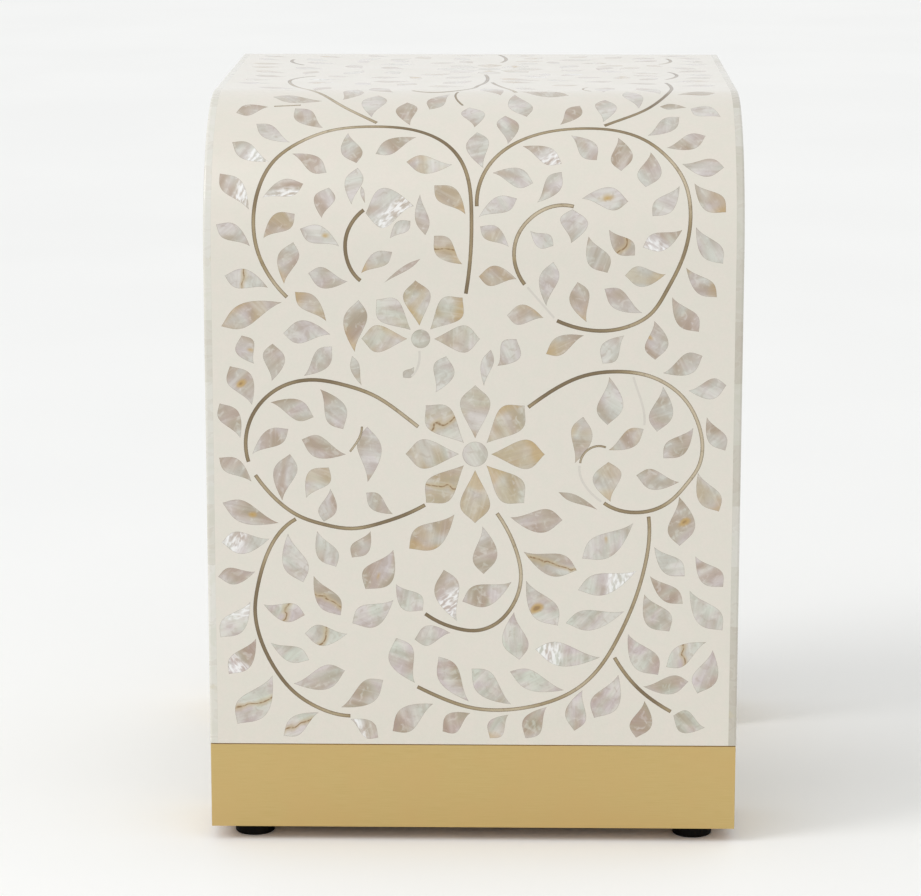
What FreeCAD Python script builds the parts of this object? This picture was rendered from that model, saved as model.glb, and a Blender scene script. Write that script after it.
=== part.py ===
import FreeCAD, Part
import math
import os

from FreeCAD import Vector

Vector2d = FreeCAD.Base.Vector2d
os.makedirs("parts", exist_ok=True)

# Driving dimensions in millimetres: X right, Y back, Z up, floor at Z 0, front face at -Y

table_width = 400.0
table_depth = 400.0
table_height = 563.0
slab_thickness = 90.0
edge_radius = 113.0

foot_height = 11.0
band_height = 66.0
band_sheet = 1.2
band_inset = 0.3
band_corner = 1.0
shadow_gap = 0.8

skin = 3.0
panel = 12.0
border_width = 6.0
border_length = 46.0
border_ease = 2.0

stile_width = 30.0
rib_thickness = 18.0
rail_height = 30.0
dowel_diameter = 8.0
dowel_length = 36.0
dowel_inset = 16.0

block_length = 60.0
plinth_rail = 18.0
screw_diameter = 4.5
screw_length = 50.0
screw_head = 9.0
screw_head_height = 3.0
screw_bury = 40.0
screw_offset = 22.0

foot_diameter = 30.0
foot_side_inset = 31.5
foot_face_inset = 26.0
pad_height = 8.0
pad_edge = 1.2
stud_diameter = 8.0
stud_ball = 5.6
neck_diameter = 4.0
ball_drop = 2.2
collar_across = 13.0
collar_height = 2.5
stud_engagement = 24.0
stud_space = 6.0
stud_bore_space = 1.5
insert_diameter = 12.0
insert_length = 20.0
insert_flange = 17.0
flange_height = 1.5
running_gap = 0.05

vine_width = 2.8
twig_width = 1.6
side_vine_width = 2.0
side_leaf_length = 26.0
side_leaf_width = 12.0
side_wave = 11.0
side_pitch = 74.0
side_margin = 14.0
side_leaf_tail = 3.5
outer_leaf_tail = 18.2
outer_leaf_tip = 22.4
outer_leaf_start = 6.0

# Sizes that follow from the driving dimensions

half_width = table_width / 2
half_depth = table_depth / 2
base_z = foot_height
leg_z = base_z + band_height
front_y = -half_depth
back_y = half_depth
core_x = half_width - skin
stile_x = core_x - stile_width
field_x = half_width - border_width

arc_y = front_y + edge_radius
arc_z = table_height - edge_radius
flat_length = arc_z - leg_z
arc_length = edge_radius * math.pi / 2
top_length = back_y - arc_y
sheet_length = flat_length + arc_length + top_length
back_height = table_height - skin - leg_z

front_core_y = front_y + skin + panel
front_inner_y = front_y + slab_thickness
back_core_y = back_y - skin - panel
back_inner_y = back_y - slab_thickness
top_core_z = table_height - skin - panel
soffit_z = table_height - slab_thickness
cove_radius = edge_radius - slab_thickness
bent_outer = edge_radius - skin
bent_inner = bent_outer - panel
cove_outer = cove_radius + panel

# The pattern was drawn on a sheet of this size, from the band's top edge up the front,
# over the round edge and back along the top. It is stretched to the table's own sheet.

drawing_width = 400.0
drawing_length = 837.5
across_scale = table_width / drawing_width
along_scale = sheet_length / drawing_length

# The drawing was read from a picture with straightened edges. Each pair raises it to where
# the pattern sits on the table: place along the drawing, and the raise there.

drawing_raise = [(0, 1), (100, 4), (200, 6), (300, 7), (450, 7), (500, 10), (550, 20), (838, 0)]

# Leaves as drawn: tail across, tail along, tip across, tip along, width.
# A positive width puts the fuller side on the left, looking from tail to tip.

front_leaves = [
    (-164, 130, -192, 126, 13), (-168, 107, -191, 80, 17), (-164, 79, -185, 52, 16),
    (-152, 51, -179, 14, 23), (-117, 23, -144, 5, -14), (-93, 18, -72, 4, 13),
    (-100, 27, -68, 48, -17), (-136, 45, -97, 55, -18), (-153, 76, -124, 63, -13),
    (-95, 83, -127, 83, 16), (-158, 105, -127, 97, -15), (-120, 127, -100, 97, -16),
    (-139, 159, -128, 122, -18), (-117, 161, -103, 134, -15), (-60, 147, -81, 117, 22),
    (-58, 121, -38, 101, -17), (-60, 109, -91, 91, 19), (-12, 93, -22, 132, 19),
    (-17, 84, -44, 79, -15), (-44, 46, -58, 80, 20), (-3, 32, -26, 66, 17),
    (-30, 30, -61, 9, -18), (-2, 23, -23, 9, -15), (27, 22, 13, 4, -14),
    (56, 28, 40, 4, -16), (83, 41, 77, 10, -16), (110, 53, 92, 20, 20),
    (130, 33, 124, 5, 16), (176, 13, 152, 22, 17), (129, 44, 163, 48, -14),
    (181, 72, 170, 39, 18), (176, 78, 146, 59, -15), (117, 84, 140, 53, -19),
    (96, 66, 47, 72, 18), (69, 41, 28, 55, 15), (29, 30, -1, 57, 18),
    (31, 100, 35, 64, -19), (40, 124, 64, 90, -19), (29, 123, -8, 108, 18),
    (114, 101, 70, 92, 16), (123, 132, 79, 117, 17), (38, 146, 78, 132, -18),
    (129, 114, 148, 86, -19), (133, 128, 158, 107, -13), (163, 117, 188, 87, -18),
    (167, 143, 188, 120, -16), (136, 150, 159, 128, -15), (7, 165, 8, 129, 18),
    (-146, 167, -188, 182, 16), (-153, 155, -189, 152, 17), (-77, 161, -91, 141, 13),
    (-14, 174, -48, 148, 21), (-107, 193, -112, 168, 13), (-60, 174, -80, 190, 12),
    (-143, 184, -137, 219, 17), (-125, 186, -108, 209, 17), (-95, 219, -128, 230, 16),
    (-79, 198, -79, 240, -18), (-165, 219, -138, 238, 14), (-174, 231, -189, 257, -15),
    (-166, 198, -190, 216, -13), (-151, 258, -119, 247, 15), (-114, 268, -97, 238, 17),
    (-165, 256, -181, 285, -18), (28, 172, 67, 170, -18), (120, 168, 82, 141, 19),
    (154, 188, 155, 151, 20), (168, 206, 184, 177, -16), (154, 199, 122, 204, 15),
    (93, 178, 64, 191, -6), (103, 184, 101, 214, 21), (164, 240, 142, 217, 15),
    (174, 248, 188, 223, -13), (76, 213, 82, 248, -16), (101, 278, 100, 242, 19),
    (141, 271, 137, 237, 17), (101, 223, 127, 239, -13), (160, 268, 188, 272, -15),
    (-150, 274, -149, 302, -16), (-163, 287, -172, 308, 15), (-126, 278, -105, 300, -14),
    (-106, 309, -141, 310, -17), (-142, 333, -187, 315, -17), (-109, 319, -132, 341, -13),
    (-88, 296, -85, 335, 17), (-83, 271, -90, 293, 7), (-28, 266, -20, 293, -16),
    (-152, 344, -184, 353, -15), (-140, 347, -133, 378, 15), (-93, 349, -122, 355, 15),
    (-83, 355, -60, 371, 12), (-66, 348, -39, 366, 4), (-44, 285, -52, 277, 7),
    (18, 286, 32, 306, -17), (8, 271, 13, 298, 9), (32, 351, 4, 353, -15),
    (52, 322, 25, 324, -15), (82, 309, 54, 295, -13), (112, 309, 96, 288, -15),
    (134, 320, 135, 291, 17), (141, 281, 170, 294, -15), (147, 338, 167, 312, -15),
    (157, 360, 180, 338, -13), (142, 355, 112, 354, 15), (54, 331, 59, 364, 14),
    (84, 319, 77, 349, 15), (125, 326, 97, 344, 14), (-8, 362, -29, 383, 15),
]

corner_leaves = [
    (-99, 375, -128, 388, -14), (-155, 381, -132, 399, 15), (-165, 375, -190, 391, -13),
    (-112, 396, -107, 419, 15), (-90, 406, -86, 435, 13), (-80, 407, -83, 420, 3),
    (-44, 405, -79.5, 399.5, -29), (-39.5, 414, -35.5, 383.5, -10), (-61.5, 381, -46.5, 394, 10),
    (-6, 399, -29, 421, -15), (164, 390, 184, 363, -15),
    (154, 388, 125, 375, 14), (100, 388, 119, 369, -14), (85, 383, 99, 356, -16),
    (42, 387, 59, 376, -12), (72, 378, 73, 403, -20), (4, 397, 32, 411, 13),
    (26, 375, 5, 390, -12), (47, 408, 65, 432, -13), (80, 411, 114, 409, 17),
    (152, 421, 132, 398, 14), (163, 423, 186, 401, -16), (-156, 411, -126, 422, 14),
    (-166, 402, -188, 430, -15), (-152, 440, -180, 457, 14), (-137, 457, -163, 475, 13),
    (-94, 466, -87, 439, -15), (-43, 462, -73, 447, -13), (-135, 447, -109, 431, 13),
    (-16, 438, -50, 440, 15), (-113, 471, -135, 494, 16), (-155, 496, -179, 488, -15),
    (-115, 505, -153, 512, 14), (-100, 507, -90, 532, -16), (-77, 483, -73, 515, 18),
    (-48, 474, -51, 503, 16), (-19, 518, -34, 493, -14), (0, 472, -4, 496, -17),
    (-62, 523, -79, 543, 17), (-136, 538, -168, 548, 12), (7, 435, 2, 467, 17),
    (14, 431, 44, 423, 15), (25, 456, 23, 485, -16), (36, 454, 65, 439, 14),
    (72, 464, 91, 442, 15), (107, 462, 109, 433, 16), (131, 449, 127, 420, 17),
    (64, 475, 79, 499, -13), (96, 478, 98, 508, -16), (129, 464, 153, 484, -14),
    (143, 453, 172, 464, -14), (154, 439, 185, 436, -15), (159, 496, 139, 498, -9),
    (184, 484, 162, 495, -16), (123, 495, 115, 526, -14), (153, 518, 182, 523, 13),
    (140, 519, 124, 546, -15), (34, 527, 71, 516, -16), (30, 518, 39, 484, -17),
    (19, 516, 6, 541, -16), (98, 525, 101, 548, 15), (-122, 528, -113, 548, 13),
    (48, 536, 30, 547, 12),
]

top_leaves = [
    (-8, 556, -38, 556, 14), (80, 569, 58, 563, 13), (158, 558, 185, 567, 16),
    (-158, 578, -186, 582, 13), (-80, 562, -92, 584, 13), (-60, 556, -48, 580, 14),
    (-108, 590, -132, 580, 13), (-3, 602, -26, 578, 15), (48, 584, 18, 594, 13),
    (114, 580, 141, 576, 14), (-160, 604, -184, 611, 13), (-106, 609, -132, 609, 12),
    (-52, 594, -82, 593, 14), (50, 603, 17, 618, 14), (76, 603, 54, 609, 10),
    (82, 590, 106, 597, 12), (153, 592, 182, 603, 14), (-60, 630, -84, 624, 14),
    (-55, 638, -45, 613, 10), (-4, 640, -25, 620, 14), (98, 632, 77, 628, 13),
    (113, 642, 113, 618, 13), (163, 622, 185, 630, 13), (142, 628, 128, 608, 12),
    (-150, 630, -177, 644, 14), (-100, 630, -119, 639, 11), (33, 646, 55, 627, 13),
    (56, 640, 53, 662, 9), (66, 642, 84, 659, 13), (146, 641, 123, 650, 13),
    (163, 652, 187, 650, 13), (-20, 660, -46, 646, 14), (-137, 650, -130, 678, 12),
    (-62, 652, -70, 680, 14), (-92, 684, -106, 654, 13), (147, 664, 123, 671, 12),
    (-152, 662, -179, 682, 14), (119, 676, 98, 684, 14), (159, 674, 184, 688, 14),
    (-123, 696, -149, 712, 17), (-58, 698, -79, 716, 15), (86, 694, 66, 686, 12),
    (97, 692, 107, 718, 13), (114, 700, 131, 716, 13), (152, 716, 176, 702, 14),
    (151, 724, 137, 736, 11), (-160, 716, -185, 714, 13), (-93, 704, -105, 732, 15),
    (67, 708, 80, 734, 14), (-158, 742, -186, 747, 14), (-50, 744, -81, 738, 14),
    (-116, 742, -142, 758, 14), (32, 738, 48, 752, 12), (67, 744, 58, 768, 11),
    (83, 747, 105, 754, 13), (163, 740, 187, 744, 14), (96, 722, 118, 734, 12),
    (-20, 760, -40, 746, 13), (-4, 750, -14, 772, 12), (-100, 776, -94, 752, 11),
    (-75, 776, -58, 760, 13), (54, 771, 29, 766, 13), (127, 764, 147, 779, 14),
    (166, 776, 184, 762, 13), (98, 787, 66, 779, 14), (-124, 768, -143, 792, 14),
    (-164, 776, -184, 792, 12), (-56, 794, -74, 781, 12), (-40, 786, -50, 810, 15),
    (-82, 796, -99, 780, 12), (-6, 780, -20, 800, 13), (53, 806, 37, 788, 13),
    (90, 820, 75, 802, 13), (118, 814, 105, 796, 13), (126, 788, 146, 802, 13),
    (163, 804, 184, 790, 13), (-115, 800, -134, 818, 13), (-160, 804, -182, 820, 12),
    (-76, 808, -94, 822, 12), (-20, 812, 2, 824, 12), (150, 812, 174, 822, 12),
    (48, 826, 30, 816, 10),
]

# Flowers as drawn: centre across and along, disc radius, petal base and tip radius, petal width, angles

eight_petals = (0, 45, 90, 135, 180, 225, 270, 315)
front_flowers = [
    (1.5, 219.5, 9.5, 12.0, 52.0, 22.0, eight_petals),
    (-39.0, 306.0, 7.0, 10.0, 44.0, 20.0, (0, 45, 95, 138, 180)),
]
top_flowers = [
    (9.0, 699.0, 9.0, 12.0, 44.0, 19.0, eight_petals),
]

# Vines as drawn: the points each centre line runs through

main_vines = [
    [(-5.5, 340), (-2, 370), (-1.5, 400), (-3, 420), (-9, 440), (-21, 456), (-45, 469), (-76, 472.5),
     (-105, 469), (-130, 457), (-148, 441), (-159, 418), (-162.5, 395), (-159, 370), (-151, 353),
     (-138, 337)],
    [(2.4, 405), (5, 424), (13, 440), (28, 455), (50, 466), (80, 471), (105, 469), (125, 461), (143, 445),
     (155, 426), (160, 400), (158, 380), (152, 361), (143, 343), (131, 325), (118, 317), (98, 312.5),
     (80, 314), (62, 320)],
    [(38, 347), (32, 358), (30, 370), (33, 384), (42, 396), (55, 404), (65, 406), (74, 405)],
    [(-73, 476.5), (-85, 485), (-100, 498), (-118, 520), (-133, 540), (-140, 556), (-145, 580), (-146, 600),
     (-140, 622), (-128, 636)],
    [(97, 474), (110, 481), (128, 493), (140, 508), (148, 528), (150, 550), (149, 570), (147, 586)],
    [(6, 652), (8, 630), (8, 600), (5, 575), (1, 557), (-1, 545), (-7, 535), (-17, 527), (-33, 523),
     (-48, 529)],
    [(12, 588), (15, 570), (20, 550), (27, 533), (31, 523)],
    [(-41, 240), (-55, 251), (-75, 264), (-95, 271), (-120, 275), (-140, 271), (-158, 258), (-167, 243),
     (-170, 228), (-168, 213)],
    [(-163, 203), (-150, 187), (-130, 172), (-112, 166), (-90, 163), (-70, 167), (-50, 174), (-36, 181)],
    [(41, 255), (58, 267), (80, 278), (107, 282), (130, 279), (148, 270), (160, 258), (168, 242),
     (171, 225), (168, 210), (160, 198), (148, 185), (135, 178), (122, 176), (108, 178), (98, 183)],
    [(-133, 170), (-145, 160), (-155, 143), (-162, 120), (-164.5, 100), (-161, 80), (-151, 58), (-135, 38),
     (-118, 27), (-102, 21.5), (-93, 20.5)],
    [(131.5, 173), (132, 155), (129, 135), (122, 110), (110, 82), (97, 60), (84, 46), (68, 36), (45, 28.5),
     (20, 25.5), (0, 27), (-20, 33), (-42, 43)],
    [(18, 175), (27, 160), (33, 145), (36, 130), (35, 118), (28, 102), (17, 91), (3, 86), (-12, 87.5),
     (-25, 92), (-36, 98.5)],
    [(-81, 402), (-88, 395), (-94, 382), (-94, 368), (-90, 357), (-83.5, 349.5)],
    [(107, 66), (115, 54), (128, 40), (140, 31), (150, 25)],
    [(-154, 783), (-155, 765), (-150, 745), (-143, 732)],
    [(152, 676), (158, 652), (156, 632), (148, 614)],
    [(155, 796), (158, 776), (156, 760), (147, 744)],
    [(16, 828), (20, 810), (22, 785), (18, 757)],
]

twigs = [
    [(-83, 240), (-84, 234), (-87, 228), (-92, 221)],
    [(119, 278), (123, 266), (127, 252), (127.5, 242)],
    [(80, 213), (82, 219), (87, 224), (99, 225)],
    [(-13, 524), (-15, 515), (-13, 506), (-9, 499)],
    [(-151, 497), (-146, 498.5), (-131, 499)],
    [(-40, 297), (-40, 290), (-42, 283), (-46, 278)],
    [(86, 549), (82, 541), (83, 533), (88, 528)],
    [(60, 322), (50, 332), (40, 345)],
    [(96, 184), (86, 193), (80, 204), (79.5, 211)],
]


# Sides of a leaf and a petal: share of the length, share of the width

leaf_full_side = ((0.30, 0.50), (0.70, 1.00), (0.80, 0.36))
leaf_thin_side = ((0.38, -0.02), (0.68, 0.90), (0.82, 0.36))
petal_side = ((0.40, 0.30), (0.75, 0.95), (0.80, 0.32))


# Curves on the flat sheet

def raised(along):
    for (low, low_raise), (high, high_raise) in zip(drawing_raise, drawing_raise[1:]):
        if along <= high:
            share = (along - low) / (high - low)
            return along + low_raise + share * (high_raise - low_raise)
    return along


def sheet_point(across, along):
    return Vector2d(across * across_scale, raised(along) * along_scale)


def bent_side(poles):
    curve = Part.Geom2d.BSplineCurve2d()
    curve.buildFromPoles(poles, False, len(poles) - 1)
    return curve


def straight_side(start, end):
    return bent_side([start, end])


def leaf_outline(tail, tip, width):
    return blade(tail, tip, leaf_full_side, leaf_thin_side, width)


def drawn_leaf(leaf):
    return leaf_outline(sheet_point(leaf[0], leaf[1]), sheet_point(leaf[2], leaf[3]), leaf[4])


def blade(tail, tip, full_side, thin_side, width):
    length = math.hypot(tip.x - tail.x, tip.y - tail.y)
    run = Vector2d((tip.x - tail.x) / length, (tip.y - tail.y) / length)

    def pole(share, offset):
        return Vector2d(
            tail.x + run.x * length * share - run.y * offset,
            tail.y + run.y * length * share + run.x * offset,
        )

    first = [tail] + [pole(share, width * out) for share, out in full_side] + [tip]
    second = [tip] + [pole(share, -width * out) for share, out in reversed(thin_side)] + [tail]
    return [bent_side(first), bent_side(second)]


def petal_outlines(flower):
    centre_x, centre_y, _, base, reach, width, angles = flower
    outlines = []
    for angle in angles:
        turn = math.radians(angle)
        tail = sheet_point(centre_x + base * math.cos(turn), centre_y + base * math.sin(turn))
        tip = sheet_point(centre_x + reach * math.cos(turn), centre_y + reach * math.sin(turn))
        outlines.append(blade(tail, tip, petal_side, petal_side, width))
    return outlines


def disc_outline(flower):
    centre = sheet_point(flower[0], flower[1])
    circle = Part.Geom2d.Circle2d(centre, flower[2])
    upper = Part.Geom2d.ArcOfCircle2d(circle, 0, math.pi).toBSpline()
    lower = Part.Geom2d.ArcOfCircle2d(circle, math.pi, 2 * math.pi).toBSpline()
    return [upper, lower]


def vine_outline(points, width):
    route = Part.Geom2d.BSplineCurve2d()
    route.interpolate(points)
    left = []
    right = []
    for knot in route.getKnots():
        here = route.value(knot)
        heading = route.tangent(knot)
        size = math.hypot(heading.x, heading.y)
        step_x = -heading.y / size * width / 2
        step_y = heading.x / size * width / 2
        left.append(Vector2d(here.x + step_x, here.y + step_y))
        right.append(Vector2d(here.x - step_x, here.y - step_y))
    left_side = Part.Geom2d.BSplineCurve2d()
    left_side.interpolate(left)
    right_side = Part.Geom2d.BSplineCurve2d()
    right_side.interpolate(right)
    return [left_side, straight_side(left[-1], right[-1]), right_side, straight_side(right[0], left[0])]


def drawn_vine(points, width):
    return vine_outline([sheet_point(across, along) for across, along in points], width)


def outline_span(outline):
    heights = [pole.y for curve in outline for pole in curve.getPoles()]
    return min(heights), max(heights)


# Zones: a flat zone maps the sheet onto a plane, the round zone wraps it on the quarter round.
# The round zone is drawn about its own axis, then turned so that it runs from the front to the top.

corner_placement = FreeCAD.Placement(
    FreeCAD.Matrix(0, 0, -1, 0, -1, 0, 0, arc_y, 0, 1, 0, arc_z, 0, 0, 0, 1)
)


class FlatZone:
    def __init__(self, origin, across, along, inward, field, start, end):
        self.origin = origin
        self.across = across
        self.along = along
        self.inward = inward
        self.field = field
        self.start = start
        self.end = end

    def point(self, spot):
        return self.origin + self.across * spot.x + self.along * (spot.y - self.start)

    def edge(self, curve):
        space = Part.BSplineCurve()
        poles = [self.point(pole) for pole in curve.getPoles()]
        weights = curve.getWeights()
        space.buildFromPolesMultsKnots(
            poles, curve.getMultiplicities(), curve.getKnots(), False, curve.Degree, weights
        )
        return space.toShape()

    def flat(self, outline):
        face = Part.Face(Part.Wire([self.edge(curve) for curve in outline]))
        low, high = outline_span(outline)
        if low < self.start or high > self.end:
            face = face.common(self.field)
        return face

    def inlay(self, outlines, keep_clear):
        faces = []
        for outline in outlines:
            face = self.flat(outline)
            if not face.Faces:
                continue
            nearby = [other for other in keep_clear if other.BoundBox.intersect(face.BoundBox)]
            if nearby:
                face = face.cut(nearby)
            faces.extend(face.Faces)
        return faces

    def solids(self, faces):
        return [face.extrude(self.inward * skin) for face in faces]

    def skin_solid(self, faces):
        return self.field.cut(faces).extrude(self.inward * skin)


class RoundZone:
    def __init__(self, start, end):
        self.start = start
        self.end = end
        self.outer = Part.Cylinder()
        self.outer.Radius = edge_radius
        self.inner = Part.Cylinder()
        self.inner.Radius = edge_radius - skin
        self.quarter = Part.makeBox(
            edge_radius, edge_radius, table_width, Vector(0, 0, -half_width)
        )

    def edge(self, curve, surface):
        wrapped = Part.Geom2d.BSplineCurve2d()
        poles = [Vector2d((pole.y - self.start) / edge_radius, -pole.x) for pole in curve.getPoles()]
        weights = curve.getWeights()
        wrapped.buildFromPolesMultsKnots(
            poles, curve.getMultiplicities(), curve.getKnots(), False, curve.Degree, weights
        )
        return wrapped.toShape(surface)

    def piece(self, outline):
        outside = [self.edge(curve, self.outer) for curve in outline]
        inside = [self.edge(curve, self.inner) for curve in outline]
        faces = [Part.Face(self.outer, Part.Wire(outside)), Part.Face(self.inner, Part.Wire(inside))]
        faces += [Part.makeRuledSurface(first, second) for first, second in zip(outside, inside)]
        shell = Part.makeShell(faces)
        shell.sewShape()
        solid = Part.makeSolid(shell)
        if solid.Volume < 0:
            solid.reverse()
        low, high = outline_span(outline)
        if low < self.start or high > self.end:
            solid = solid.common(self.quarter)
        return solid

    def inlay(self, outlines, keep_clear):
        pieces = []
        for outline in outlines:
            solid = self.piece(outline)
            if not solid.Solids:
                continue
            nearby = [other for other in keep_clear if other.BoundBox.intersect(solid.BoundBox)]
            if nearby:
                solid = solid.cut(nearby)
            pieces.extend(solid.Solids)
        return pieces

    def placed(self, solids):
        result = []
        for solid in solids:
            copy = solid.copy()
            copy.Placement = corner_placement
            result.append(copy)
        return result

    def skin_solid(self, pieces):
        length = 2 * field_x
        base = Vector(0, 0, -field_x)
        ring = Part.makeCylinder(edge_radius, length, base, Vector(0, 0, 1), 90)
        ring = ring.cut(Part.makeCylinder(edge_radius - skin, length, base, Vector(0, 0, 1), 90))
        return self.placed([ring.cut(pieces)])[0]


def inside_zone(outlines, zone):
    kept = []
    for outline in outlines:
        low, high = outline_span(outline)
        if low < zone.end and high > zone.start:
            kept.append(outline)
    return kept


def wholly_inside(outlines, zone):
    return [outline for outline in outlines if outline_span(outline)[1] < zone.end]


# Solids in common use

def box(x_from, x_to, y_from, y_to, z_from, z_to):
    return Part.makeBox(x_to - x_from, y_to - y_from, z_to - z_from, Vector(x_from, y_from, z_from))


def plate(corners):
    return Part.Face(Part.makePolygon(corners + corners[:1]))


def quarter_ring(outer, inner, x_from, x_to):
    start = Vector(x_from, arc_y, arc_z)
    along_x = Vector(1, 0, 0)
    ring = Part.makeCylinder(outer, x_to - x_from, start, along_x)
    ring = ring.cut(Part.makeCylinder(inner, x_to - x_from, start, along_x))
    return ring.common(box(x_from, x_to, arc_y - outer, arc_y, arc_z, arc_z + outer))


def save(node, solids):
    shape = solids[0] if len(solids) == 1 else Part.makeCompound(solids)
    shape.exportStep("parts/" + node + ".step")


def mirrored(shape):
    return shape.mirror(Vector(0, 0, 0), Vector(1, 0, 0))


# Inlay on the front, the round edge, the top and the back

def front_zone():
    field = plate([
        Vector(-field_x, front_y, leg_z), Vector(field_x, front_y, leg_z),
        Vector(field_x, front_y, arc_z), Vector(-field_x, front_y, arc_z),
    ])
    return FlatZone(
        Vector(0, front_y, leg_z), Vector(1, 0, 0), Vector(0, 0, 1), Vector(0, 1, 0), field, 0, flat_length
    )


def top_zone():
    rear = back_y - border_width
    field = plate([
        Vector(-field_x, arc_y, table_height), Vector(field_x, arc_y, table_height),
        Vector(field_x, rear, table_height), Vector(-field_x, rear, table_height),
    ])
    start = flat_length + arc_length
    return FlatZone(
        Vector(0, arc_y, table_height), Vector(1, 0, 0), Vector(0, 1, 0), Vector(0, 0, -1), field,
        start, sheet_length - border_width
    )


def back_zone():
    top = leg_z + back_height
    field = plate([
        Vector(-field_x, back_y, leg_z), Vector(field_x, back_y, leg_z),
        Vector(field_x, back_y, top), Vector(-field_x, back_y, top),
    ])
    return FlatZone(
        Vector(0, back_y, leg_z), Vector(-1, 0, 0), Vector(0, 0, 1), Vector(0, -1, 0), field, 0, back_height
    )


leaf_outlines = [drawn_leaf(leaf) for leaf in front_leaves + corner_leaves + top_leaves]
flowers = front_flowers + top_flowers
petals = [outline for flower in flowers for outline in petal_outlines(flower)]
discs = [disc_outline(flower) for flower in flowers]
vines = [drawn_vine(points, vine_width) for points in main_vines]
vines += [drawn_vine(points, twig_width) for points in twigs]

petal_solids = []
disc_solids = []


def inlay_flat(zone, name, choose):
    vine_faces = zone.inlay(choose(vines, zone), [])
    petal_faces = zone.inlay(choose(petals, zone), vine_faces)
    disc_faces = zone.inlay(choose(discs, zone), [])
    leaf_faces = zone.inlay(choose(leaf_outlines, zone), vine_faces)
    save(name + "_vine_strips", zone.solids(vine_faces))
    save(name + "_leaf_inlays", zone.solids(leaf_faces))
    save(name + "_resin_skin", [zone.skin_solid(vine_faces + petal_faces + disc_faces + leaf_faces)])
    petal_solids.extend(zone.solids(petal_faces))
    disc_solids.extend(zone.solids(disc_faces))


def inlay_round():
    zone = RoundZone(flat_length, flat_length + arc_length)
    vine_pieces = zone.inlay(inside_zone(vines, zone), [])
    leaf_pieces = zone.inlay(inside_zone(leaf_outlines, zone), vine_pieces)
    save("corner_vine_strips", zone.placed(vine_pieces))
    save("corner_leaf_inlays", zone.placed(leaf_pieces))
    save("corner_resin_skin", [zone.skin_solid(vine_pieces + leaf_pieces)])


inlay_flat(front_zone(), "front", inside_zone)
inlay_round()
inlay_flat(top_zone(), "top", inside_zone)
inlay_flat(back_zone(), "back", wholly_inside)
save("flower_petal_inlays", petal_solids)
save("flower_disc_inlays", disc_solids)


# Shell border strips along the outer edges

def divided(start, end):
    count = max(1, round((end - start) / border_length))
    step = (end - start) / count
    return [(start + step * index, start + step * (index + 1)) for index in range(count)]


def round_border(angle_from, angle_to):
    base = Vector(0, 0, -half_width)
    axis = Vector(0, 0, 1)
    turn = math.degrees(angle_to - angle_from)
    piece = Part.makeCylinder(edge_radius, border_width, base, axis, turn)
    piece = piece.cut(Part.makeCylinder(bent_outer, border_width, base, axis, turn))
    piece.rotate(Vector(0, 0, 0), axis, math.degrees(angle_from))
    piece.Placement = corner_placement.multiply(piece.Placement)
    return piece


# A point nearer than this to a face lies on it
touching = 0.01


def outer_faces(point):
    if point.y > arc_y:
        outside = table_height - point.z
    elif point.z < arc_z:
        outside = point.y - front_y
    else:
        outside = edge_radius - math.hypot(arc_y - point.y, point.z - arc_z)
    return [abs(gap) < touching for gap in (outside, half_width - point.x, back_y - point.y)].count(True)


def eased(piece):
    edges = []
    for edge in piece.Edges:
        middle = edge.valueAt((edge.FirstParameter + edge.LastParameter) / 2)
        if outer_faces(middle) > 1:
            edges.append(edge)
    return piece.makeFillet(border_ease, edges)


def edge_borders():
    pieces = []
    for low, high in divided(leg_z, arc_z):
        pieces.append(box(field_x, half_width, front_y, front_y + skin, low, high))
    for low, high in divided(0, arc_length):
        pieces.append(round_border(low / edge_radius, high / edge_radius))
    for near, far in divided(arc_y, back_y):
        pieces.append(box(field_x, half_width, near, far, table_height - skin, table_height))
    for low, high in divided(leg_z, table_height - skin):
        pieces.append(box(field_x, half_width, back_y - skin, back_y, low, high))
    return pieces


def back_edge_border():
    rear = back_y - border_width
    return [
        box(left, right, rear, back_y, table_height - skin, table_height)
        for left, right in divided(-field_x, field_x)
    ]


right_borders = [eased(piece) for piece in edge_borders()]
save("right_border_strips", right_borders)
save("left_border_strips", [mirrored(piece) for piece in right_borders])
save("back_edge_border_strips", [eased(piece) for piece in back_edge_border()])


# Resin skins and running vine on the side edges of the slabs

def slab_profile(inset, x):
    middle = math.sqrt(0.5)
    outer = edge_radius - inset
    corner = [
        Vector(x, front_y + inset, arc_z),
        Vector(x, arc_y - outer * middle, arc_z + outer * middle),
        Vector(x, arc_y, table_height - inset),
    ]
    cove = [
        Vector(x, arc_y, soffit_z),
        Vector(x, arc_y - cove_radius * middle, arc_z + cove_radius * middle),
        Vector(x, front_inner_y, arc_z),
    ]
    foot_front = Vector(x, front_y + inset, leg_z)
    back_top = Vector(x, back_y - inset, table_height - inset)
    back_foot = Vector(x, back_y - inset, leg_z)
    inner_back_foot = Vector(x, back_inner_y, leg_z)
    inner_back_top = Vector(x, back_inner_y, soffit_z)
    inner_front_foot = Vector(x, front_inner_y, leg_z)
    edges = [
        Part.makeLine(foot_front, corner[0]),
        Part.Arc(corner[0], corner[1], corner[2]).toShape(),
        Part.makeLine(corner[2], back_top),
        Part.makeLine(back_top, back_foot),
        Part.makeLine(back_foot, inner_back_foot),
        Part.makeLine(inner_back_foot, inner_back_top),
        Part.makeLine(inner_back_top, cove[0]),
        Part.Arc(cove[0], cove[1], cove[2]).toShape(),
        Part.makeLine(cove[2], inner_front_foot),
        Part.makeLine(inner_front_foot, foot_front),
    ]
    return Part.Face(Part.Wire(edges))


side_mid_y = front_y + slab_thickness / 2
side_mid_radius = edge_radius - slab_thickness / 2
side_mid_z = table_height - slab_thickness / 2
side_back_y = back_y - slab_thickness / 2
side_leg_run = arc_z - leg_z
side_arc_run = side_mid_radius * math.pi / 2
side_top_run = side_back_y - arc_y


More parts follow.
